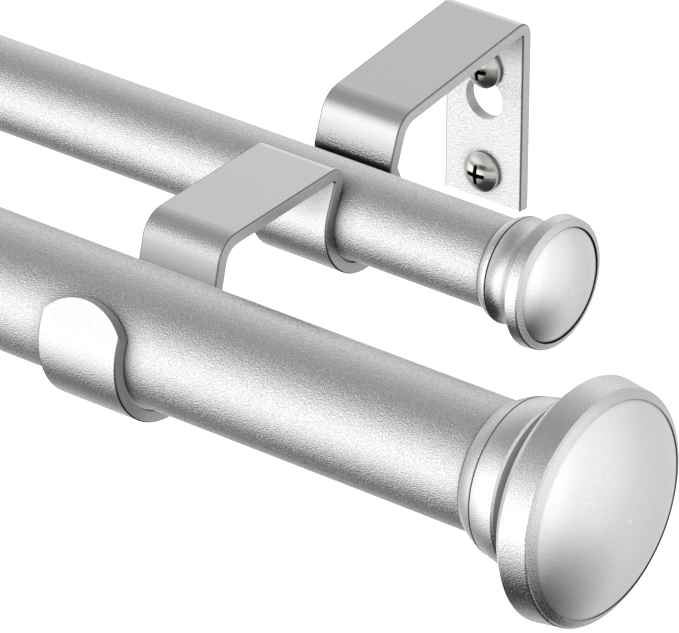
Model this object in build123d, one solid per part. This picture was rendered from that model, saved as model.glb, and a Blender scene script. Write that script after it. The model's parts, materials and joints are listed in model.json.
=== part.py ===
from build123d import *
import os
from math import cos, radians, sin, sqrt, tan

# Double curtain pole: two telescoping poles, one in front of the other, on two wall
# brackets that are each bent from one flat strip of steel. Millimetres throughout.
# X runs along the poles, -Y points into the room and +Z is up. The wall is the plane
# Y = 0. The origin is the centre of the rectangle that the four wall screws stand on.

# Overall layout
BRACKET_SPACING = 535.0      # between the middles of the two brackets
FRONT_REACH = 109.0          # wall to the front pole's axis
REAR_REACH = 51.3            # wall to the rear pole's axis
FRONT_OVERHANG = 88.0        # middle of a bracket to the front finials
REAR_OVERHANG = 44.0         # middle of a bracket to the rear finials

# Poles
FRONT_POLE_D = 25.4
REAR_POLE_D = 18.0
TUBE_WALL = 0.8
TUBE_SLIDE_GAP = 0.1         # radial, between an outer tube and the tube inside it
POLE_SEAT_GAP = 0.35         # between a pole and the cup that it lies in
POLE_MIN_OVERLAP = 100.0     # tube left inside tube when fully drawn out
POLE_REVEAL = 20.0           # inner tube that shows at rest

# Bracket strip
STRIP_WIDTH = 19.0
STRIP_T = 2.5
STRIP_EDGE_BREAK = 0.25
PLATE_TOP = 11.1             # upper screw to the corner above it
TIGHT_BEND_R = 0.5           # inside of the sharp bends
WIDE_BEND_R = 3.7            # inside of the two easy bends
REAR_ARM_SLOPE = 10.0        # degrees below level, from the wall to the rear pole
FRONT_ARM_SLOPE = 4.7        # degrees below level, from the rear to the front pole
REAR_LEG_LEAN = 19.0         # degrees that the leg behind the rear pole leans over it
FRONT_LEG_LEAN = 13.0
REAR_CUP_BACK = 29.0         # degrees that the rear cup turns up behind its pole
FRONT_CUP_BACK = 11.0
CUP_WRAP = 20.0              # degrees that a cup turns past level in front of its pole
NECK_FLAT = 0.3              # straight strip between a cup and the bend into its leg
REAR_POLE_RISE = 17.7        # bottom of the wall plate to the rear pole's axis
FRONT_POLE_RISE = 12.8       # bottom of the wall plate to the front pole's axis
FRONT_ARM_GAP = 1.55         # rear pole to the underside of the front arm's back corner
TIP_SHOULDER = 0.8           # straight strip between the front cup and its arched tip
TIP_ARCH = 5.0               # rise of the arched tip

# Holes and screws in the wall plate
SCREW_LOW = 6.0              # bottom of the wall plate to the lower screw
SCREW_SPACING = 22.5         # lower screw to upper screw
SCREW_SHANK_D = 4.2          # threaded part, in the wall
SCREW_NECK_D = 3.6           # plain part, in the plate
SCREW_HOLE_GAP = 0.3         # radial, round the threaded part as it passes through
SCREW_HEAD_D = 8.2
SCREW_HEAD_H = 2.7
SCREW_HEAD_SIDE = 0.9        # straight side of the head under its dome
SCREW_REACH = 9.5            # threaded part beyond the back of the wall plate
SCREW_POINT = 3.5
KEYHOLE_DROP = 6.6           # upper screw down to the keyhole's round end
KEYHOLE_HEAD_GAP = 0.4       # radial, round the screw head that passes through
RECESS_SPAN = 4.4            # cross recess, tip to tip
RECESS_BLADE = 1.0
RECESS_DEPTH = 1.9
RECESS_TAPER = 14.0          # degrees

# What both sizes of finial share
SOCKET_GAP = 0.1             # radial, round the end of the tube
LIP_T = 0.4                  # rim of the socket where the tube goes in
SEAM_W = 0.35                # width and depth of the fine turned line
RIM_EDGE = 0.5               # rounding of the disc's front edge
FACE_GAP = 0.1               # radial, round the domed face in its rim
FACE_SEAT = 1.6              # how deep the domed face sits in its rim
FACE_BOSS_R = 3.0            # stub on the back of the face that locates it
FACE_BOSS_H = 2.0
FACE_EDGE = 0.3              # how far the dome's edge lies below the bright ring
FLARE_BULGE = 0.2            # crown of the turned flares
SLEEVE_GAP = 0.05            # radial, between an inner tube and its adapter sleeve

# Front finial, each length outward along the pole from the feature before it
FRONT_FLARE_L = 4.2          # lip to the turned line
FRONT_COLLAR_L = 5.6         # turned line to the widest part of the collar
FRONT_LIP_L = 0.8            # widest part of the collar to the deep groove
FRONT_GROOVE_L = 4.6         # groove, as far as the back of the disc
FRONT_DISC_T = 7.6           # back of the disc to its front edge
FRONT_SOCKET_END = 1.2       # metal between the end of the socket and the groove
FRONT_FLARE_RISE = 2.6       # turned line above the pole's surface
FRONT_COLLAR_RISE = 3.6      # widest part of the collar above the pole's surface
FRONT_GROOVE_SINK = 0.5      # bottom of the groove below the pole's surface
FRONT_DISC_RISE = 10.6       # rim of the disc above the pole's surface
FRONT_LIP_H = 1.7            # widest part of the collar down to the edge of the groove
FRONT_LIP_BULGE = 0.5        # rounding of the collar's bright front lip
FRONT_BEVEL = 1.9            # bevel round the back of the disc
FRONT_RIM_TAPER = 0.7        # rim's front edge below its back edge
FRONT_RING_W = 1.3           # bright ring round the face
FRONT_RING_RISE = 0.9        # the ring stands forward towards the face
FRONT_DOME_H = 5.0

# Rear finial, measured in the same way
REAR_FLARE_L = 2.7           # lip to the turned line
REAR_COVE_L = 4.6            # turned line to the end of the cove
REAR_BEAD_L = 1.4            # bead, as far as the back of the disc
REAR_DISC_T = 3.5
REAR_SOCKET_END = 2.2        # metal between the end of the socket and the disc's back
REAR_FLARE_RISE = 1.6        # turned line above the pole's surface
REAR_COVE_RISE = 0.9         # bottom of the cove above the pole's surface
REAR_BEAD_RISE = 2.2
REAR_DISC_RISE = 4.2
REAR_BEVEL = 0.9
REAR_RIM_TAPER = 0.2
REAR_RING_W = 1.0
REAR_RING_RISE = 0.4
REAR_DOME_H = 3.0


def polar(angle, length=1.0):
    """Point at an angle in degrees and a distance, in the bracket's side view."""
    return Vector(length * cos(radians(angle)), length * sin(radians(angle)))


def crossing(point_a, angle_a, point_b, angle_b):
    """Where a line through one point at one angle meets a line through another."""
    along_a, along_b = polar(angle_a), polar(angle_b)
    gap = point_b - point_a
    turn = along_a.X * along_b.Y - along_a.Y * along_b.X
    return point_a + along_a * ((gap.X * along_b.Y - gap.Y * along_b.X) / turn)


def dome_height(edge_r, rise, at_r):
    """Height of a round dome over its edge, at a radius from its middle."""
    ball_r = (edge_r**2 + rise**2) / (2 * rise)
    return rise - ball_r + sqrt(ball_r**2 - at_r**2)


# Heights in the frame, worked out from the bottom of the wall plate
PLATE_BOTTOM = -(SCREW_LOW + SCREW_SPACING / 2)
REAR_POLE_Z = PLATE_BOTTOM + REAR_POLE_RISE
FRONT_POLE_Z = PLATE_BOTTOM + FRONT_POLE_RISE
REAR_AXIS = Vector(-REAR_REACH, REAR_POLE_Z)
FRONT_AXIS = Vector(-FRONT_REACH, FRONT_POLE_Z)

# Stations along the finials, outward from their lips
FRONT_GROOVE_AT = FRONT_FLARE_L + FRONT_COLLAR_L + FRONT_LIP_L
FRONT_DISC_AT = FRONT_GROOVE_AT + FRONT_GROOVE_L
REAR_COVE_END = REAR_FLARE_L + REAR_COVE_L
REAR_DISC_AT = REAR_COVE_END + REAR_BEAD_L

# How far each pole draws out: the shorter pole's inner tube then still overlaps enough
POLE_TRAVEL = BRACKET_SPACING + 2 * (REAR_OVERHANG - POLE_REVEAL) - POLE_MIN_OVERLAP


def cup_radius(pole_d):
    """Radius of the middle of the strip where it curls round a pole."""
    return pole_d / 2 + POLE_SEAT_GAP + STRIP_T / 2


def cup_back(axis, radius, back_turn, lean):
    """Where a cup starts behind its pole, and the sharp corner where its leg begins."""
    start = axis + polar(back_turn, radius)
    bend_r = TIGHT_BEND_R + STRIP_T / 2
    run = bend_r * tan(radians((back_turn + lean) / 2)) + NECK_FLAT
    return start, start + polar(90 + back_turn, run)


def bracket_route():
    """The middle line of the bent strip in side view, from the plate to the tip."""
    rear_r, front_r = cup_radius(REAR_POLE_D), cup_radius(FRONT_POLE_D)
    tight, wide = TIGHT_BEND_R + STRIP_T / 2, WIDE_BEND_R + STRIP_T / 2
    bends = [tight, wide, tight]
    tip_angle = 90 - CUP_WRAP
    back = Vector(-STRIP_T / 2, PLATE_BOTTOM)
    plate_corner = back + Vector(0, SCREW_LOW + SCREW_SPACING + PLATE_TOP)
    rear_cup, rear_neck = cup_back(REAR_AXIS, rear_r, REAR_CUP_BACK, REAR_LEG_LEAN)
    rear_bend = crossing(plate_corner, 180 + REAR_ARM_SLOPE, rear_neck, 90 - REAR_LEG_LEAN)
    rear_wrap_end = REAR_AXIS + polar(180 - CUP_WRAP, rear_r)
    arm_level = REAR_AXIS + Vector(0, REAR_POLE_D / 2 + FRONT_ARM_GAP + STRIP_T / 2)
    arm_corner = crossing(rear_wrap_end, tip_angle, arm_level, 0)
    front_cup, front_neck = cup_back(FRONT_AXIS, front_r, FRONT_CUP_BACK, FRONT_LEG_LEAN)
    front_bend = crossing(arm_corner, 180 + FRONT_ARM_SLOPE, front_neck, 90 - FRONT_LEG_LEAN)
    with BuildLine() as side_view:
        FilletPolyline(back, plate_corner, rear_bend, rear_neck, rear_cup, radius=bends)
        CenterArc(REAR_AXIS, rear_r, REAR_CUP_BACK, -(180 + CUP_WRAP + REAR_CUP_BACK))
        FilletPolyline(rear_wrap_end, arm_corner, front_bend, front_neck, front_cup,
                       radius=bends)
        CenterArc(FRONT_AXIS, front_r, FRONT_CUP_BACK, -(180 + CUP_WRAP + FRONT_CUP_BACK))
        tip_foot = FRONT_AXIS + polar(180 - CUP_WRAP, front_r)
        Line(tip_foot, tip_foot + polar(tip_angle, TIP_SHOULDER + TIP_ARCH))
    return Plane.YZ * side_view.wire()


def strip_section(route):
    """Flat bar section with broken edges, standing square on the route's start."""
    start = Plane(origin=route @ 0, x_dir=(0, 1, 0), z_dir=route % 0)
    with BuildSketch(start) as section:
        Rectangle(STRIP_T, STRIP_WIDTH)
        chamfer(section.vertices(), STRIP_EDGE_BREAK)
    return section.sketch


def tip_waste(route):
    """What is cut off round the arched tip."""
    arch_r = ((STRIP_WIDTH / 2) ** 2 + TIP_ARCH**2) / (2 * TIP_ARCH)
    shoulder = (route @ 1) - (route % 1) * TIP_ARCH
    across = Plane(origin=shoulder, x_dir=(1, 0, 0),
                   z_dir=Vector(1, 0, 0).cross(route % 1))
    with BuildPart() as waste:
        with BuildSketch(across):
            Rectangle(2 * STRIP_WIDTH, 2 * TIP_ARCH, align=(Align.CENTER, Align.MIN))
            with Locations((0, TIP_ARCH - arch_r)):
                Circle(arch_r, mode=Mode.SUBTRACT)
        extrude(amount=STRIP_T, both=True)
    return waste.part


def plate_holes():
    """The keyhole for the upper screw and the round hole for the lower one."""
    shank_hole_r = SCREW_SHANK_D / 2 + SCREW_HOLE_GAP
    head_hole_r = SCREW_HEAD_D / 2 + KEYHOLE_HEAD_GAP
    upper = SCREW_SPACING / 2
    with BuildPart() as holes:
        with BuildSketch(Plane.XZ):
            with Locations((0, -upper), (0, upper)):
                Circle(shank_hole_r)
            with Locations((0, upper - KEYHOLE_DROP)):
                Circle(head_hole_r)
                Rectangle(2 * shank_hole_r, KEYHOLE_DROP, align=(Align.CENTER, Align.MIN))
        extrude(amount=2 * STRIP_T, both=True)
    return holes.part


def bracket():
    """One wall bracket, centred on X = 0."""
    route = bracket_route()
    strip = sweep(strip_section(route), path=route)
    return strip - tip_waste(route) - plate_holes()


def wall_screw():
    """Pan-head screw along +Y, its head bearing on the plate's front at Y = -STRIP_T."""
    head_r, neck_r, shank_r = SCREW_HEAD_D / 2, SCREW_NECK_D / 2, SCREW_SHANK_D / 2
    top = -STRIP_T - SCREW_HEAD_H
    shoulder = -STRIP_T - SCREW_HEAD_SIDE
    dome_rise = dome_height(head_r, SCREW_HEAD_H - SCREW_HEAD_SIDE, head_r / 2)
    with BuildPart() as screw:
        with BuildSketch(Plane.XY):
            with BuildLine():
                Polyline((0, top), (0, SCREW_REACH), (shank_r, SCREW_REACH - SCREW_POINT),
                         (shank_r, 0), (neck_r, 0), (neck_r, -STRIP_T),
                         (head_r, -STRIP_T), (head_r, shoulder))
                ThreePointArc((head_r, shoulder), (head_r / 2, shoulder - dome_rise), (0, top))
            make_face()
        revolve(axis=Axis.Y)
        with BuildSketch(Plane.XZ.offset(-top)):
            Rectangle(RECESS_SPAN, RECESS_BLADE)
            Rectangle(RECESS_BLADE, RECESS_SPAN)
        extrude(amount=-RECESS_DEPTH, taper=RECESS_TAPER, mode=Mode.SUBTRACT)
    return screw.part


def tube(radius, start_x, end_x, axis):
    """Straight thin-walled tube along X."""
    with BuildPart() as pole:
        with BuildSketch(Plane.YZ.offset(start_x)):
            with Locations((axis.X, axis.Y)):
                Circle(radius)
                Circle(radius - TUBE_WALL, mode=Mode.SUBTRACT)
        extrude(amount=end_x - start_x)
    return pole.part


class FinialSizes:
    """Sizes of one finial's disc and socket, with stations outward from its lip."""

    def __init__(self, pole_d, socket, disc_at, bevel, disc_rise, rim_taper, disc_t,
                 ring_w, ring_rise, dome_h):
        self.pole_r = pole_d / 2
        self.bore_r = self.pole_r + SOCKET_GAP
        self.lip_r = self.bore_r + LIP_T
        self.socket = socket
        self.back = disc_at
        self.bevel = bevel
        self.rim_r = self.pole_r + disc_rise
        self.rim_front_r = self.rim_r - rim_taper
        self.edge = disc_at + disc_t
        self.ring_r = self.rim_front_r - RIM_EDGE - ring_w
        self.front = self.edge + ring_rise
        self.floor = self.front - FACE_SEAT
        self.dome_h = dome_h


FRONT_SIZES = FinialSizes(FRONT_POLE_D, FRONT_GROOVE_AT - FRONT_SOCKET_END, FRONT_DISC_AT,
                          FRONT_BEVEL, FRONT_DISC_RISE, FRONT_RIM_TAPER, FRONT_DISC_T,
                          FRONT_RING_W, FRONT_RING_RISE, FRONT_DOME_H)
REAR_SIZES = FinialSizes(REAR_POLE_D, REAR_DISC_AT - REAR_SOCKET_END, REAR_DISC_AT,
                         REAR_BEVEL, REAR_DISC_RISE, REAR_RIM_TAPER, REAR_DISC_T,
                         REAR_RING_W, REAR_RING_RISE, REAR_DOME_H)


def disc_and_socket(sizes, neck_end):
    """Draws a finial's disc, the seat for its face and its blind socket."""
    rounding = RIM_EDGE * (1 - sin(radians(45)))
    shoulder, rim_front = sizes.edge - RIM_EDGE, sizes.rim_front_r
    hub = sizes.floor - FACE_BOSS_H - FACE_GAP
    hub_r = FACE_BOSS_R + FACE_GAP
    Polyline(neck_end, (sizes.back, sizes.rim_r - sizes.bevel),
             (sizes.back + sizes.bevel, sizes.rim_r), (shoulder, rim_front))
    ThreePointArc((shoulder, rim_front), (sizes.edge - rounding, rim_front - rounding),
                  (sizes.edge, rim_front - RIM_EDGE))
    Polyline((sizes.edge, rim_front - RIM_EDGE), (sizes.front, sizes.ring_r),
             (sizes.floor, sizes.ring_r), (sizes.floor, hub_r), (hub, hub_r), (hub, 0),
             (sizes.socket, 0), (sizes.socket, sizes.bore_r), (0, sizes.bore_r),
             (0, sizes.lip_r))


def turned_line(station, radius):
    """Draws a fine V-shaped line cut round a flare, ending at its far side."""
    Polyline((station - SEAM_W / 2, radius), (station, radius - SEAM_W),
             (station + SEAM_W / 2, radius))


def flare(start, end, bulge):
    """Draws a flare from one station and radius to another, crowned by its bulge."""
    middle = ((start[0] + end[0]) / 2, (start[1] + end[1]) / 2 + bulge)
    ThreePointArc(start, middle, end)


def front_finial():
    """Front finial: two flares, a deep round groove and a thick disc."""
    flare_r = FRONT_SIZES.pole_r + FRONT_FLARE_RISE
    collar_r = FRONT_SIZES.pole_r + FRONT_COLLAR_RISE
    groove_r = FRONT_SIZES.pole_r - FRONT_GROOVE_SINK
    edge_r = collar_r - FRONT_LIP_H
    seam_in, seam_out = FRONT_FLARE_L - SEAM_W / 2, FRONT_FLARE_L + SEAM_W / 2
    collar = (FRONT_FLARE_L + FRONT_COLLAR_L, collar_r)
    groove_start, groove_end = (FRONT_GROOVE_AT, edge_r), (FRONT_DISC_AT, edge_r)
    groove_bottom = (FRONT_GROOVE_AT + FRONT_GROOVE_L / 2, groove_r)
    with BuildPart() as piece:
        with BuildSketch(Plane.XY):
            with BuildLine():
                flare((0, FRONT_SIZES.lip_r), (seam_in, flare_r), FLARE_BULGE)
                turned_line(FRONT_FLARE_L, flare_r)
                flare((seam_out, flare_r), collar, FLARE_BULGE)
                flare(collar, groove_start, FRONT_LIP_BULGE)
                ThreePointArc(groove_start, groove_bottom, groove_end)
                disc_and_socket(FRONT_SIZES, groove_end)
            make_face()
        revolve(axis=Axis.X)
    return piece.part


def rear_finial():
    """Rear finial: a flare, a cove and a bead against a thinner disc."""
    flare_r = REAR_SIZES.pole_r + REAR_FLARE_RISE
    cove_r = REAR_SIZES.pole_r + REAR_COVE_RISE
    bead_r = REAR_SIZES.pole_r + REAR_BEAD_RISE
    seam_in, seam_out = REAR_FLARE_L - SEAM_W / 2, REAR_FLARE_L + SEAM_W / 2
    cove_start, cove_end = (seam_out, flare_r), (REAR_COVE_END, flare_r)
    bead_end = (REAR_DISC_AT, flare_r)
    with BuildPart() as piece:
        with BuildSketch(Plane.XY):
            with BuildLine():
                flare((0, REAR_SIZES.lip_r), (seam_in, flare_r), FLARE_BULGE)
                turned_line(REAR_FLARE_L, flare_r)
                flare(cove_start, cove_end, cove_r - flare_r)
                flare(cove_end, bead_end, bead_r - flare_r)
                disc_and_socket(REAR_SIZES, bead_end)
            make_face()
        revolve(axis=Axis.X)
    return piece.part


def finial_face(sizes):
    """Domed face that closes a finial's disc, with a locating stub on its back."""
    face_r = sizes.ring_r - FACE_GAP
    stub_end = sizes.floor - FACE_BOSS_H
    shoulder = (sizes.front - FACE_EDGE, face_r)
    rise = sizes.dome_h + FACE_EDGE
    crown = shoulder[0] + rise
    part_way = (shoulder[0] + dome_height(face_r, rise, face_r / 2), face_r / 2)
    with BuildPart() as piece:
        with BuildSketch(Plane.XY):
            with BuildLine():
                Polyline((crown, 0), (stub_end, 0), (stub_end, FACE_BOSS_R),
                         (sizes.floor, FACE_BOSS_R), (sizes.floor, face_r), shoulder)
                ThreePointArc(shoulder, part_way, (crown, 0))
            make_face()
        revolve(axis=Axis.X)
    return piece.part


def adapter_sleeve(pole_d, length):
    """Thin sleeve that makes an inner tube up to the bore of its finial."""
    with BuildPart() as sleeve:
        with BuildSketch(Plane.YZ):
            Circle(pole_d / 2)
            Circle(inner_tube_radius(pole_d) + SLEEVE_GAP, mode=Mode.SUBTRACT)
        extrude(amount=length)
    return sleeve.part


def inner_tube_radius(pole_d):
    """Outside radius of the tube that slides inside a pole."""
    return pole_d / 2 - TUBE_WALL - TUBE_SLIDE_GAP


def pole_pieces(name, pole_d, overhang, axis, sizes, finial):
    """All the pieces of one telescoping pole, by name, where they lie at rest."""
    lip_x = BRACKET_SPACING / 2 + overhang
    mouth_x = POLE_REVEAL - lip_x
    right = Location((lip_x, axis.X, axis.Y))
    left = Location((-lip_x, axis.X, axis.Y))
    face = finial_face(sizes)
    sleeve = adapter_sleeve(pole_d, sizes.socket)
    inner_end = mouth_x + POLE_TRAVEL + POLE_MIN_OVERLAP
    return {
        f"{name}_outer_tube": tube(pole_d / 2, mouth_x, lip_x + sizes.socket, axis),
        f"{name}_inner_tube": tube(inner_tube_radius(pole_d), -lip_x - sizes.socket,
                                   inner_end, axis),
        f"{name}_finial_right": right * finial,
        f"{name}_finial_left": left * mirror(finial, about=Plane.YZ),
        f"{name}_finial_face_right": right * face,
        f"{name}_finial_face_left": left * mirror(face, about=Plane.YZ),
        f"{name}_adapter_sleeve": left * mirror(sleeve, about=Plane.YZ),
    }


def wall_screws():
    """The four wall screws, two in each bracket, as one group of separate solids."""
    screw = wall_screw()
    places = [(x, 0, z) for x in (-BRACKET_SPACING / 2, BRACKET_SPACING / 2)
              for z in (-SCREW_SPACING / 2, SCREW_SPACING / 2)]
    return Compound(children=[Location(place) * screw for place in places])


def build():
    """Every piece of the double curtain pole, by name."""
    one_bracket = bracket()
    pieces = {
        "bracket_right": Location((BRACKET_SPACING / 2, 0, 0)) * one_bracket,
        "bracket_left": Location((-BRACKET_SPACING / 2, 0, 0)) * one_bracket,
        "wall_screws": wall_screws(),
    }
    pieces |= pole_pieces("front", FRONT_POLE_D, FRONT_OVERHANG, FRONT_AXIS, FRONT_SIZES,
                          front_finial())
    pieces |= pole_pieces("rear", REAR_POLE_D, REAR_OVERHANG, REAR_AXIS, REAR_SIZES,
                          rear_finial())
    return pieces


if __name__ == "__main__":
    os.makedirs("parts", exist_ok=True)
    for name, piece in build().items():
        export_step(piece, f"parts/{name}.step")
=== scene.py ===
"""Looks of a double curtain pole: paint, plating, screw threads, soft light and camera.

Laid out as an add-on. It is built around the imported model, in metres, with +X along the
poles, -Y out into the room and +Z up.
"""

import json
import math

import bpy
import numpy as np
from bpy.props import FloatProperty, FloatVectorProperty, IntProperty, PointerProperty
from mathutils import Matrix, Vector


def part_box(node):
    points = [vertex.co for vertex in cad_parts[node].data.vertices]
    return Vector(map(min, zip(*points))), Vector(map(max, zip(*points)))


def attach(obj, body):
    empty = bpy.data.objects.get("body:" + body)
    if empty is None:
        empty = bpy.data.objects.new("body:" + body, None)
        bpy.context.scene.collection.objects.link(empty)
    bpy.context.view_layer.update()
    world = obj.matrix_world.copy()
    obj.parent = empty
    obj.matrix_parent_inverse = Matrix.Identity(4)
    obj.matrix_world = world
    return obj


bl_info = {
    "name": "Double curtain pole looks",
    "version": (1, 0, 0),
    "blender": (4, 5, 0),
    "location": "View3D > Sidebar > Curtain pole",
    "description": "Finishes, screw threads, light and camera for a double curtain pole",
    "category": "Object",
}

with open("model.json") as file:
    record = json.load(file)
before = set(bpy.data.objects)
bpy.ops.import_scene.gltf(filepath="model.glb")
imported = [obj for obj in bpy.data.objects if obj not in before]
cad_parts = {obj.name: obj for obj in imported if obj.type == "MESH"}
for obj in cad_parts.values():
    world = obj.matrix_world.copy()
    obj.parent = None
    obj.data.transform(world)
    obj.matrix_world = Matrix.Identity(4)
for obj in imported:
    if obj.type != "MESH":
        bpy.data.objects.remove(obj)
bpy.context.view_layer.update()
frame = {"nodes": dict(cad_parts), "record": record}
MM = 0.001

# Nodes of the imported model: those that share a finish, and all of the front pole.
OUTER_TUBES = ("front_outer_tube", "rear_outer_tube")
INNER_TUBES = ("front_inner_tube", "rear_inner_tube")
BRACKETS = ("bracket_right", "bracket_left")
FINIALS = ("front_finial_right", "front_finial_left", "rear_finial_right", "rear_finial_left")
FACES = ("front_finial_face_right", "front_finial_face_left",
         "rear_finial_face_right", "rear_finial_face_left")
SLEEVES = ("front_adapter_sleeve", "rear_adapter_sleeve")
FRONT_POLE = tuple(name for name in frame["nodes"] if name.startswith("front_"))

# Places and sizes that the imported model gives.
MOUNTS = {mount["name"]: mount for mount in frame["record"]["mounts"]}
WALL_SCREWS = MOUNTS["wall_screws"]["dims"]
BRACKET_X = WALL_SCREWS["spacing_x_mm"] / 2 * MM
SCREW_Z = WALL_SCREWS["spacing_y_mm"] / 2 * MM
SHANK_R = WALL_SCREWS["stud_r_mm"] * MM
SCREW_TIP_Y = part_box("wall_screws")[1][1]
FRONT_RINGS = MOUNTS["front_pole_rings"]
FRONT_POLE_R = FRONT_RINGS["dims"]["r_mm"] * MM
_, FRONT_AXIS_Y, FRONT_AXIS_Z = FRONT_RINGS["pos_m"]
BRACKET_LOW, BRACKET_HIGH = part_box("bracket_right")
STRIP_HALF_W = (BRACKET_HIGH[0] - BRACKET_LOW[0]) / 2
FRONT_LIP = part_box("front_finial_right")[0][0]
REAR_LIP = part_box("rear_finial_right")[0][0]

# The front cup keeps a clearance from its pole and turns past level in front of it. The
# bracket's tip goes straight on from there.
STRIP_T = 2.5 * MM
CUP_CLEARANCE = 0.35 * MM
CUP_WRAP = math.radians(20)
TIP_FACE_R = FRONT_POLE_R + CUP_CLEARANCE + STRIP_T

# Bands of painted shade on the finials, as distances along the pole from its middle: a
# fine line of painted shade at the mouth of each socket, and painted shade in the deep
# groove of the front finials.
LIP_LINE_W = 0.35 * MM
GROOVE_START = 10.3 * MM
GROOVE_END = 15 * MM
FINIAL_SHADE_BANDS = (
    (FRONT_LIP, FRONT_LIP + LIP_LINE_W),
    (REAR_LIP, REAR_LIP + LIP_LINE_W),
    (FRONT_LIP + GROOVE_START, FRONT_LIP + GROOVE_END),
)

# Numbers of the colour sockets on Blender's Mix node.
MIX_SHARE = 0
MIX_FIRST = 6
MIX_SECOND = 7
MIX_RESULT = 2


class Reading:
    """A shader socket that takes part in ordinary arithmetic."""

    def __init__(self, sheet, socket):
        self.sheet = sheet
        self.socket = socket

    def __add__(self, other):
        return self.sheet.maths("ADD", self, other)

    def __radd__(self, other):
        return self.sheet.maths("ADD", other, self)

    def __sub__(self, other):
        return self.sheet.maths("SUBTRACT", self, other)

    def __rsub__(self, other):
        return self.sheet.maths("SUBTRACT", other, self)

    def __mul__(self, other):
        return self.sheet.maths("MULTIPLY", self, other)

    def __rmul__(self, other):
        return self.sheet.maths("MULTIPLY", other, self)

    def __abs__(self):
        return self.sheet.maths("ABSOLUTE", self)


class NodeSheet:
    """One node tree, of a material or of the world, written as expressions."""

    def __init__(self, tree):
        self.tree = tree
        self.tree.nodes.clear()

    def node(self, kind, settings=None, sockets=None):
        """Adds a node, sets its settings, then fills its sockets with values or links."""
        added = self.tree.nodes.new(kind)
        for name, value in (settings or {}).items():
            setattr(added, name, value)
        for key, value in (sockets or {}).items():
            if isinstance(value, Reading):
                self.tree.links.new(value.socket, added.inputs[key])
            else:
                added.inputs[key].default_value = value
        return added

    def read(self, kind, output, settings=None, sockets=None):
        """Adds a node and gives one of its outputs as a reading."""
        return Reading(self, self.node(kind, settings, sockets).outputs[output])

    def maths(self, operation, *values):
        """One step of arithmetic on one value or two."""
        return self.read("ShaderNodeMath", 0, {"operation": operation},
                         dict(enumerate(values)))

    def axes(self, vector):
        """The x, y and z of a place or a direction."""
        parts = self.node("ShaderNodeSeparateXYZ", None, {0: vector})
        return [Reading(self, socket) for socket in parts.outputs]

    def ramp(self, value, start, full, kind="SMOOTHSTEP"):
        """0 up to the start and 1 from the full value on, with a smooth or straight rise
        between them. The full value may be the lower one."""
        return self.read("ShaderNodeMapRange", 0, {"interpolation_type": kind},
                         {"Value": value, "From Min": start, "From Max": full})

    def blend(self, share, first, second):
        """Colour that goes from the first to the second as the share goes from 0 to 1."""
        return self.read("ShaderNodeMix", MIX_RESULT, {"data_type": "RGBA"},
                         {MIX_SHARE: share, MIX_FIRST: first, MIX_SECOND: second})


class FinishSheet(NodeSheet):
    """A material's node tree that ends in one Principled shader."""

    def __init__(self, name, **constants):
        self.material = bpy.data.materials.new(name)
        self.material.use_nodes = True
        super().__init__(self.material.node_tree)
        self.shader = self.node("ShaderNodeBsdfPrincipled", None,
                                {key.replace("_", " "): value for key, value in constants.items()})
        self.node("ShaderNodeOutputMaterial", None,
                  {"Surface": Reading(self, self.shader.outputs[0])})
        self.place = self.read("ShaderNodeTexCoord", "Object")

    def feed(self, **varying):
        """Joins readings to the shader's own sockets."""
        for key, reading in varying.items():
            self.tree.links.new(reading.socket, self.shader.inputs[key.replace("_", " ")])

    def noise(self, cell, detail=2.0, roughness=0.5, stretch=(1, 1, 1)):
        """Soft lumps about one cell wide, from 0 to 1."""
        stretched = self.read("ShaderNodeMapping", 0, None,
                              {"Vector": self.place, "Scale": stretch})
        return self.read("ShaderNodeTexNoise", 0, None,
                         {"Vector": stretched, "Scale": 1 / cell, "Detail": detail,
                          "Roughness": roughness})

    def unshaded_share(self, reach, darkest=0.35, brightest=0.95, samples=12):
        """1 on an open surface, falling to 0 in a gap, in a groove and against a step: the mask
        of the shade that the finishes paint into their colour. The darkest and the brightest are
        shares of the view that is open within the reach."""
        open_share = self.read("ShaderNodeAmbientOcclusion", "AO", {"samples": samples},
                               {"Distance": reach})
        return self.ramp(open_share, darkest, brightest, "LINEAR")

    def band(self, value, start, end, soft=0.15 * MM):
        """1 between the start and the end, falling softly to 0 beyond both."""
        return self.ramp(value, start - soft, start) * self.ramp(value, end + soft, end)

    def raise_by(self, height, depth):
        """Normal of a surface that a height from 0 to 1 raises by a depth in metres."""
        return self.read("ShaderNodeBump", 0, None, {"Height": height, "Distance": depth})


def shade(colour, share):
    """The same colour, lighter or darker by a share."""
    return (*[min(1.0, share * level) for level in colour], 1.0)


def give_finish(names, material):
    """Puts one material on CAD nodes."""
    for name in names:
        frame["nodes"][name].material_slots[0].material = material


def colour_property(description, default, name="Colour"):
    """A colour that the user can set."""
    return FloatVectorProperty(name=name, description=description, subtype="COLOR",
                               size=3, min=0, max=1, default=default)


def share_property(name, description, default):
    """A share from 0 to 1 that the user can set."""
    return FloatProperty(name=name, description=description, default=default, min=0,
                         max=1, subtype="FACTOR")


def length_property(name, description, millimetres):
    """A length that the user can set, with its default in millimetres."""
    return FloatProperty(name=name, description=description, default=millimetres * MM,
                         unit="LENGTH", precision=6)


def angle_property(name, description, degrees):
    """An angle that the user can set, with its default in degrees."""
    return FloatProperty(name=name, description=description, default=math.radians(degrees),
                         subtype="ANGLE")


class PolePaint(bpy.types.PropertyGroup):
    """Satin paint of the pole tubes"""

    colour: colour_property("Colour of the poles", (0.64, 0.64, 0.645))
    roughness: share_property("Roughness", "How matt the paint is", 0.22)
    grain: length_property("Grain", "Width of one lump of the orange peel", 0.23)
    depth: length_property("Grain depth", "Height of the orange peel", 0.12)
    speckle: share_property("Speckle", "How much lighter and darker the grain is", 0.1)
    reach: length_property("Corner reach", "How far the shade of a corner spreads", 5.0)
    darkest: share_property("Corner darkest", "Open share of view where shade is full", 0.45)


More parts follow.
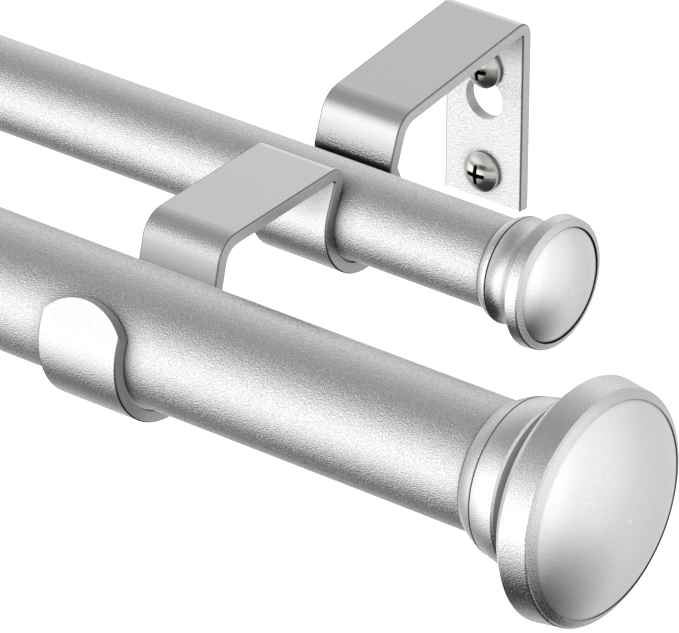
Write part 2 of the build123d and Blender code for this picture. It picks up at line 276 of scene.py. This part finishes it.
class BracketPaint(bpy.types.PropertyGroup):
    """Paint of the bent strips"""

    colour: colour_property("Colour of the brackets", (0.7, 0.7, 0.7))
    roughness: share_property("Roughness", "How matt the paint is", 0.22)
    grain: length_property("Grain", "Width of one lump of the orange peel", 0.3)
    depth: length_property("Grain depth", "Height of the orange peel", 0.07)
    reach: length_property("Corner reach", "How far the shade of a corner spreads", 10.0)
    darkest: share_property("Corner darkest", "Open share of view where shade is full", 0.25)


class FinialPaint(bpy.types.PropertyGroup):
    """Semi-gloss paint of the turned finials"""

    colour: colour_property("Colour of the finials", (0.71, 0.71, 0.715))
    roughness: share_property("Roughness", "How matt the paint is", 0.18)
    grain: length_property("Grain", "Width of one lump of the orange peel", 0.22)
    depth: length_property("Grain depth", "Height of the orange peel", 0.06)
    speckle: share_property("Speckle", "How much lighter and darker the grain is", 0.06)
    reach: length_property("Corner reach", "How far the shade of a corner spreads", 3.0)
    darkest: share_property("Corner darkest", "Open share of view where shade is full", 0.46)


class FacePaint(bpy.types.PropertyGroup):
    """Smooth semi-gloss paint of the domed faces"""

    colour: colour_property("Colour of the domed faces", (0.88, 0.88, 0.885))
    roughness: share_property("Roughness", "How matt the paint is", 0.24)
    grain: length_property("Grain", "Width of one lump of the orange peel", 0.6)
    depth: length_property("Grain depth", "Height of the orange peel", 0.006)
    speckle: share_property("Speckle", "How much lighter and darker the grain is", 0.015)
    reach: length_property("Corner reach", "How far the shade of a corner spreads", 1.0)
    darkest: share_property("Corner darkest", "Open share of view where shade is full", 0.3)


class ScrewSettings(bpy.types.PropertyGroup):
    """Plating and thread of the wall screws"""

    colour: colour_property("Colour of the plating", (0.74, 0.72, 0.69))
    roughness: share_property("Roughness", "How dull the plating is", 0.16)
    blotch: length_property("Blotch", "Width of one blotch of the plating", 1.2)
    ripple: length_property("Ripple", "Width of one ripple of the plating", 0.6)
    ripple_depth: length_property("Ripple depth", "Height of the ripples", 0.006)
    reach: length_property("Corner reach", "How far the shade of a corner spreads", 1.2)
    pitch: length_property("Pitch", "Advance of the thread in one turn", 1.6)
    thread_height: length_property("Thread height", "Crest above the shank", 0.35)
    thread_width: length_property("Thread width", "Foot of the ridge along the screw", 0.8)
    point: length_property("Point", "Length of the tapered point", 3.5)
    steps: IntProperty(name="Steps", description="Steps in one turn of the thread",
                       default=32, min=8)


class SleevePlastic(bpy.types.PropertyGroup):
    """Grey moulded plastic of the adapter sleeves"""

    colour: colour_property("Colour of the sleeves", (0.3, 0.3, 0.3))
    roughness: share_property("Roughness", "How matt the plastic is", 0.5)
    grain: length_property("Grain", "Width of one soft patch", 0.8)
    depth: length_property("Grain depth", "Height of the patches", 0.01)


class StageSettings(bpy.types.PropertyGroup):
    """Floor and camera"""

    floor_level: FloatProperty(name="Floor level", description="Height of the floor",
                               default=-0.45, unit="LENGTH")
    floor_colour: colour_property("Colour of the floor", (0.93, 0.93, 0.93), "Floor")
    camera_place: FloatVectorProperty(name="Camera", description="Where the camera stands",
                                      subtype="TRANSLATION", size=3,
                                      default=(1.05864, -1.02614, 0.61089))
    camera_turn: angle_property("Turn", "Camera's turn round the object", 38.94)
    camera_tilt: angle_property("Tilt", "Camera's height over the horizon", 26.84)
    camera_roll: angle_property("Roll", "Camera's roll", 0.41)
    camera_lens: FloatProperty(name="Lens", description="Focal length for a 36 mm sensor",
                               default=386.2, min=1, subtype="DISTANCE_CAMERA")


class CurtainPoleSettings(bpy.types.PropertyGroup):
    """All that a user would change"""

    pole_paint: PointerProperty(type=PolePaint)
    bracket_paint: PointerProperty(type=BracketPaint)
    finial_paint: PointerProperty(type=FinialPaint)
    face_paint: PointerProperty(type=FacePaint)
    screws: PointerProperty(type=ScrewSettings)
    sleeves: PointerProperty(type=SleevePlastic)
    stage: PointerProperty(type=StageSettings)


def chosen():
    """The sizes and colours that the current scene holds."""
    return bpy.context.scene.curtain_pole


# Silver paint: the noise detail of its lumps, the contrast and relative width of its
# flecks, how far its roughness varies, and the shares of its colour in the painted shade
# of corners and of the bands. Its colour is full, with no painted shade, from the last
# share of open view on.
LUMP_DETAIL = 0.6
FLECK_CONTRAST = (0.35, 0.65)
FLECK_WIDTH = 0.8
ROUGHNESS_SPREAD = 0.08
CORNER_SHADE = 0.07
BAND_SHADE = 0.28
OPEN_VIEW = 0.98


def silver_paint(name, paint, shade_bands=()):
    """Metallic silver paint with a fine orange-peel grain, with painted shade in corners and
    over bands of painted shade at given distances along the pole from its middle."""
    sheet = FinishSheet(name, Metallic=1.0)
    lumps = sheet.noise(paint.grain, detail=LUMP_DETAIL)
    flecks = sheet.ramp(sheet.noise(FLECK_WIDTH * paint.grain, detail=0.0), *FLECK_CONTRAST)
    coat = sheet.blend(flecks, shade(paint.colour, 1 - paint.speckle),
                       shade(paint.colour, 1 + paint.speckle))
    # Painted shade over each band.
    if shade_bands:
        off_middle = abs(sheet.axes(sheet.place)[0])
        for start, end in shade_bands:
            coat = sheet.blend(sheet.band(off_middle, start, end), coat,
                               shade(paint.colour, BAND_SHADE))
    # Painted shade in corners, gaps and grooves, where little of the view is open.
    sheet.feed(
        Base_Color=sheet.blend(sheet.unshaded_share(paint.reach, paint.darkest, OPEN_VIEW),
                               shade(paint.colour, CORNER_SHADE), coat),
        Roughness=paint.roughness - ROUGHNESS_SPREAD / 2 + ROUGHNESS_SPREAD * lumps,
        Normal=sheet.raise_by(lumps, paint.depth),
    )
    return sheet.material


# Where each mask on a bracket starts and is full. The first two are measured in from the
# strip's side, for its cut edge and for the line of painted shade along its corner. The
# next three are measured in from the tip's outer face, out from the pole and along the
# tip. The last two are measured forwards from the pole's axis, for the painted shade on
# the tip's cut edge, and up.
SIDE_CUT = (0.08 * MM, 0.04 * MM)
CORNER_SHADE_LINE = (0.42 * MM, 0.32 * MM)
TIP_SKIN = (0.05 * MM, 0.1 * MM)
TIP_BACK = (0.0, 0.2 * MM)
TIP_START = (0.1 * MM, 0.4 * MM)
TIP_SHADE_SPAN = (4 * MM, 12 * MM)
ARM_HEIGHT = (8 * MM, 14 * MM)

# Shares of the bracket paint's colour: between and on the lumps of its grain, on the line
# of painted shade along a corner, in and between the scratches of a cut edge, in the
# painted shade on the cut edge of the tip and in the painted shade of corners.
FACE_SHADES = (0.98, 0.86)
LINE_SHADE = 0.3
EDGE_SHADES = (0.76, 1.04)
TIP_SHADE = 0.42
NOOK_SHADE = 0.22

# The bracket paint's grain: the contrast of its noise, the shares of its tone and of its
# height that the arms lose, and the scratches along a cut edge, which is also rougher.
GRAIN_CONTRAST = (0.3, 0.7)
ARM_TONE_LOSS = 0.9
ARM_HEIGHT_LOSS = 0.75
SCRATCH_WIDTH = 0.5
SCRATCH_STRETCH = (0.2, 1, 1)
CUT_ROUGHNESS = 0.12


def cut_edges(sheet, inward, back, up):
    """1 on the strip's cut edges, which are its two sides and the end of its tip. Inward
    is the distance in from the nearer side."""
    # The tip stands square to a line that rises from the pole's axis by the cup's wrap.
    forwards, above = FRONT_AXIS_Y - back, up - FRONT_AXIS_Z
    outward = forwards * math.cos(CUP_WRAP) + above * math.sin(CUP_WRAP)
    along = above * math.cos(CUP_WRAP) - forwards * math.sin(CUP_WRAP)
    tip_cut = (sheet.ramp(TIP_FACE_R - outward, *TIP_SKIN)
               * sheet.ramp(outward - FRONT_POLE_R, *TIP_BACK)
               * sheet.ramp(along, *TIP_START))
    return sheet.maths("MAXIMUM", sheet.ramp(inward, *SIDE_CUT), tip_cut)


def bracket_finish(paint):
    """Silver paint that is smooth on the arms, grained on the legs, cups and plate, and
    thin and darker over the strip's cut edges. Painted shade lies in its corners, along the
    line of each corner and on the cut edge of the tip."""
    sheet = FinishSheet("bracket_silver_paint_finish", Metallic=1.0)
    across, back, up = sheet.axes(sheet.place)
    inward = STRIP_HALF_W - abs(abs(across) - BRACKET_X)
    cut = cut_edges(sheet, inward, back, up)
    # Painted shade along the strip's corners, just in from the cut edges.
    corner = sheet.ramp(inward, *CORNER_SHADE_LINE)
    # Painted shade on the cut edges in front of the front pole, where the tip is.
    tip = sheet.ramp(FRONT_AXIS_Y - back, *TIP_SHADE_SPAN)
    arm = sheet.ramp(up, *ARM_HEIGHT)

    lumps = sheet.noise(paint.grain, detail=LUMP_DETAIL)
    peel = sheet.ramp(lumps, *GRAIN_CONTRAST) * (1 - ARM_TONE_LOSS * arm)
    face = sheet.blend(peel, *[shade(paint.colour, share) for share in FACE_SHADES])
    face = sheet.blend(corner, face, shade(paint.colour, LINE_SHADE))

    scratches = sheet.noise(SCRATCH_WIDTH * paint.grain, stretch=SCRATCH_STRETCH)
    tone = sheet.ramp(scratches, *GRAIN_CONTRAST)
    edge = sheet.blend(tone, *[shade(paint.colour, share) for share in EDGE_SHADES])
    edge = sheet.blend(tip, edge, shade(paint.colour, TIP_SHADE))

    # Painted shade in corners and against the poles, where little of the view is open.
    sheet.feed(
        Base_Color=sheet.blend(sheet.unshaded_share(paint.reach, paint.darkest, brightest=1.0),
                               shade(paint.colour, NOOK_SHADE),
                               sheet.blend(cut, face, edge)),
        Roughness=paint.roughness + CUT_ROUGHNESS * cut,
        Normal=sheet.raise_by(lumps * (1 - ARM_HEIGHT_LOSS * arm * (1 - cut)), paint.depth),
    )
    return sheet.material


class CURTAINPOLE_OT_paint_poles(bpy.types.Operator):
    """Satin silver paint with an orange-peel grain on the poles"""

    bl_idname = "curtain_pole.paint_poles"
    bl_label = "Paint poles"

    def execute(self, context):
        give_finish(OUTER_TUBES + INNER_TUBES,
                    silver_paint("satin_silver_paint_finish", chosen().pole_paint))
        return {"FINISHED"}


class CURTAINPOLE_OT_paint_brackets(bpy.types.Operator):
    """Silver paint on the brackets, darker over their cut edges, with painted shade in corners"""

    bl_idname = "curtain_pole.paint_brackets"
    bl_label = "Paint brackets"

    def execute(self, context):
        give_finish(BRACKETS, bracket_finish(chosen().bracket_paint))
        return {"FINISHED"}


class CURTAINPOLE_OT_paint_finials(bpy.types.Operator):
    """Semi-gloss silver paint on the finials and their domed faces"""

    bl_idname = "curtain_pole.paint_finials"
    bl_label = "Paint finials"

    def execute(self, context):
        give_finish(FINIALS,
                    silver_paint("finial_silver_paint_finish", chosen().finial_paint,
                                 FINIAL_SHADE_BANDS))
        give_finish(FACES,
                    silver_paint("finial_face_paint_finish", chosen().face_paint))
        return {"FINISHED"}


# Zinc plate: the share of its colour between its pale blotches and in the painted shade
# of its recess and corners, and how much rougher the blotches are.
PLATE_SHADE = 0.9
RECESS_SHADE = 0.08
BLOTCH_ROUGHNESS = 0.1


def zinc_plate(screws):
    """Bright zinc plate, a little blotchy, with painted shade in its recess and corners."""
    sheet = FinishSheet("plated_screw_finish", Metallic=1.0)
    blotches = sheet.noise(screws.blotch, detail=3.0)
    plate = sheet.blend(blotches, shade(screws.colour, PLATE_SHADE),
                        shade(screws.colour, 1.0))
    # Painted shade in the recess and corners, where little of the view is open.
    sheet.feed(
        Base_Color=sheet.blend(sheet.unshaded_share(screws.reach),
                               shade(screws.colour, RECESS_SHADE), plate),
        Roughness=screws.roughness + BLOTCH_ROUGHNESS * blotches,
        Normal=sheet.raise_by(sheet.noise(screws.ripple), screws.ripple_depth),
    )
    return sheet.material


# The thread starts behind the wall plate and stops short of the screw's tip. Its foot is
# at a share of the shank's radius, and it starts with a share of its full section.
THREAD_START_Y = 0.7 * MM
THREAD_END_Y = SCREW_TIP_Y - 0.4 * MM
FOOT_SHARE = 0.94
FIRST_SHARE = 0.02


def thread_ridge(screws, start, end):
    """Points and faces of one right-handed thread ridge about the Y axis.

    At turn t the ridge lies at y = start + pitch * t. Its section is a triangle with its
    foot just inside the shank and its crest above it. Shank radius and crest height both
    run out along the point, and the crest rises from next to nothing in the first turn.
    """
    turns = (end - start) / screws.pitch
    count = int(turns * screws.steps) + 1
    along = np.linspace(start, end, count)
    angle = 2 * np.pi * (along - start) / screws.pitch
    left = np.clip((SCREW_TIP_Y - along) / screws.point, 0.0, 1.0)
    fade = np.clip((along - start) / screws.pitch, FIRST_SHARE, 1.0) * left
    shank = SHANK_R * left
    foot = FOOT_SHARE * shank
    half_foot = 0.5 * screws.thread_width * fade
    radius = np.stack((foot, shank + screws.thread_height * fade, foot))
    y = np.stack((along - half_foot, along, along + half_foot))
    points = np.stack((radius * np.sin(angle), y, radius * np.cos(angle)), axis=-1)
    sides = len(radius)
    corner, step = np.meshgrid(np.arange(sides), np.arange(count - 1), indexing="ij")
    beside = (corner + 1) % sides
    faces = np.stack((corner * count + step, corner * count + step + 1,
                      beside * count + step + 1, beside * count + step), axis=-1)
    first_cap = [side * count for side in range(sides)]
    last_cap = [side * count + count - 1 for side in reversed(range(sides))]
    return points.reshape(-1, 3), faces.reshape(-1, 4).tolist() + [first_cap, last_cap]


class CURTAINPOLE_OT_plate_screws(bpy.types.Operator):
    """Threads and bright zinc plate on the wall screws"""

    bl_idname = "curtain_pole.plate_screws"
    bl_label = "Plate screws"

    def execute(self, context):
        screws = chosen().screws
        ridge, faces = thread_ridge(screws, THREAD_START_Y, THREAD_END_Y)
        places = [(side * BRACKET_X, 0, level * SCREW_Z)
                  for side in (-1, 1) for level in (-1, 1)]
        points = np.concatenate([ridge + place for place in places])
        all_faces = [[corner + copy * len(ridge) for corner in face]
                     for copy in range(len(places)) for face in faces]
        mesh = bpy.data.meshes.new("screw_threads")
        mesh.from_pydata(points.tolist(), [], all_faces)
        threads = bpy.data.objects.new("screw_threads", mesh)
        context.scene.collection.objects.link(threads)
        plate = zinc_plate(screws)
        mesh.materials.append(plate)
        give_finish(("wall_screws",), plate)
        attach(threads, "root")
        return {"FINISHED"}


# Sleeve plastic: the share of its colour and the extra roughness on its paler patches.
PATCH_SHADE = 1.2
PATCH_ROUGHNESS = 0.1


class CURTAINPOLE_OT_mould_sleeves(bpy.types.Operator):
    """Grey moulded plastic on the adapter sleeves"""

    bl_idname = "curtain_pole.mould_sleeves"
    bl_label = "Mould sleeves"

    def execute(self, context):
        plastic = chosen().sleeves
        sheet = FinishSheet("sleeve_plastic_finish", Metallic=0.0)
        patches = sheet.noise(plastic.grain)
        sheet.feed(
            Base_Color=sheet.blend(patches, shade(plastic.colour, 1.0),
                                   shade(plastic.colour, PATCH_SHADE)),
            Roughness=plastic.roughness + PATCH_ROUGHNESS * patches,
            Normal=sheet.raise_by(patches, plastic.depth),
        )
        give_finish(SLEEVES, sheet.material)
        return {"FINISHED"}


# Each soft light or dark card of the studio: where it stands, the cosines at which it
# starts and is full, and its strength. Most of them, and the first two strengths below,
# began as a fit to the photograph's grey levels, and were then changed.
SOFT_LIGHTS = (
    ((-0.64, -0.75, -0.11), 0.64, 0.95, 1.3),
    ((0.96, 0.14, 0.25), 0.58, 0.97, 0.37),
    ((0.76, -0.52, -0.39), -0.3, 1.0, 0.58),
    ((-0.1, -0.35, -0.93), 0.5, 0.9, -0.35),
    ((0.3, -0.3, -0.9), 0.5, 0.9, -0.8),
    ((0.35, 0.87, -0.34), 0.47, 0.58, -0.3),
    ((-0.62, 0.78, 0.0), 0.6, 0.95, 0.2),
    ((-0.3, 0.1, 0.95), 0.6, 0.95, -0.14),
)

# Strengths of the surroundings: all round, added straight behind the object, at their
# darkest, and as the camera sees them.
ROOM_LEVEL = 0.64
BEHIND_LEVEL = 0.51
DARKEST_LEVEL = 0.06
BACKDROP_LEVEL = 1.25


def light_world():
    """Soft studio surroundings: paler behind, with the soft lights and dark cards."""
    world = bpy.data.worlds.new("studio")
    bpy.context.scene.world = world
    world.use_nodes = True
    sheet = NodeSheet(world.node_tree)
    across, back, up = sheet.axes(sheet.read("ShaderNodeTexCoord", "Generated"))

    level = ROOM_LEVEL + BEHIND_LEVEL * sheet.maths("MAXIMUM", back, 0.0)
    for towards, edge, full, strength in SOFT_LIGHTS:
        aim = Vector(towards).normalized()
        facing = across * aim.x + back * aim.y + up * aim.z
        level = level + strength * sheet.ramp(facing, edge, full, "LINEAR")
    level = sheet.maths("MAXIMUM", level, DARKEST_LEVEL)
    rays = sheet.read("ShaderNodeLightPath", "Is Camera Ray")
    level = level * (1 - rays) + BACKDROP_LEVEL * rays
    backdrop = sheet.read("ShaderNodeBackground", 0, None, {"Strength": level})
    sheet.node("ShaderNodeOutputWorld", None, {"Surface": backdrop})


# The floor: how far it reaches each way, and the width and colour share of its patches.
FLOOR_REACH = 6.0
FLOOR_PATCH = 0.4
FLOOR_PATCH_SHADE = 0.99


def lay_floor(stage):
    """Plain pale floor, far enough below to leave only the faintest shade."""
    corners = [(x * FLOOR_REACH, y * FLOOR_REACH, stage.floor_level)
               for x, y in ((-1, -1), (1, -1), (1, 1), (-1, 1))]
    mesh = bpy.data.meshes.new("floor")
    mesh.from_pydata(corners, [], [(0, 1, 2, 3)])
    floor = bpy.data.objects.new("floor", mesh)
    bpy.context.scene.collection.objects.link(floor)
    sheet = FinishSheet("floor_paint", Roughness=0.9, Emission_Strength=0.75)
    tone = sheet.blend(sheet.noise(FLOOR_PATCH), shade(stage.floor_colour, 1.0),
                       shade(stage.floor_colour, FLOOR_PATCH_SHADE))
    sheet.feed(Base_Color=tone, Emission_Color=tone)
    mesh.materials.append(sheet.material)
    floor.visible_glossy = False


def place_camera(stage):
    """Camera at the viewing angle that was fitted to the photograph's outlines: its own
    axes are worked out from the turn, tilt and roll."""
    turn, tilt, roll = stage.camera_turn, stage.camera_tilt, stage.camera_roll
    right = Vector((math.cos(turn), math.sin(turn), 0))
    ahead = Vector((-math.sin(turn) * math.cos(tilt), math.cos(turn) * math.cos(tilt),
                    -math.sin(tilt)))
    over = right.cross(ahead)
    rolled_right = math.cos(roll) * right + math.sin(roll) * over
    rolled_over = math.cos(roll) * over - math.sin(roll) * right
    data = bpy.data.cameras.new("camera")
    data.sensor_width = 36
    data.lens = stage.camera_lens
    data.clip_start = 0.05
    camera = bpy.data.objects.new("camera", data)
    turned = Matrix((rolled_right, rolled_over, -ahead)).transposed().to_4x4()
    camera.matrix_world = Matrix.Translation(stage.camera_place) @ turned
    bpy.context.scene.collection.objects.link(camera)
    bpy.context.scene.camera = camera


class CURTAINPOLE_OT_set_stage(bpy.types.Operator):
    """Pale floor, soft studio light and the camera at the photograph's angle"""

    bl_idname = "curtain_pole.set_stage"
    bl_label = "Set stage"

    def execute(self, context):
        stage = chosen().stage
        context.scene.view_settings.view_transform = "Standard"
        light_world()
        # Reflected in the rear pole, these pieces would look darker than the real ones do.
        for name in FRONT_POLE + BRACKETS:
            frame["nodes"][name].visible_glossy = False
        lay_floor(stage)
        place_camera(stage)
        return {"FINISHED"}


OPERATORS = (
    CURTAINPOLE_OT_paint_poles,
    CURTAINPOLE_OT_paint_brackets,
    CURTAINPOLE_OT_paint_finials,
    CURTAINPOLE_OT_plate_screws,
    CURTAINPOLE_OT_mould_sleeves,
    CURTAINPOLE_OT_set_stage,
)


class CURTAINPOLE_PT_tools(bpy.types.Panel):
    """The steps that dress the curtain pole"""

    bl_idname = "CURTAINPOLE_PT_tools"
    bl_label = "Curtain pole"
    bl_space_type = "VIEW_3D"
    bl_region_type = "UI"
    bl_category = "Curtain pole"

    def draw(self, context):
        for operator in OPERATORS:
            self.layout.operator(operator.bl_idname)


CLASSES = (PolePaint, BracketPaint, FinialPaint, FacePaint, ScrewSettings, SleevePlastic,
           StageSettings, CurtainPoleSettings, *OPERATORS, CURTAINPOLE_PT_tools)


def register():
    """Registers every class and gives each scene the settings."""
    for each in CLASSES:
        bpy.utils.register_class(each)
    bpy.types.Scene.curtain_pole = PointerProperty(type=CurtainPoleSettings)


def unregister():
    """Takes away what register added, in the opposite order."""
    del bpy.types.Scene.curtain_pole
    for each in reversed(CLASSES):
        bpy.utils.unregister_class(each)


def main():
    """Runs every step in order."""
    register()
    bpy.ops.curtain_pole.paint_poles()
    bpy.ops.curtain_pole.paint_brackets()
    bpy.ops.curtain_pole.paint_finials()
    bpy.ops.curtain_pole.plate_screws()
    bpy.ops.curtain_pole.mould_sleeves()
    bpy.ops.curtain_pole.set_stage()


if __name__ == "__main__":
    main()
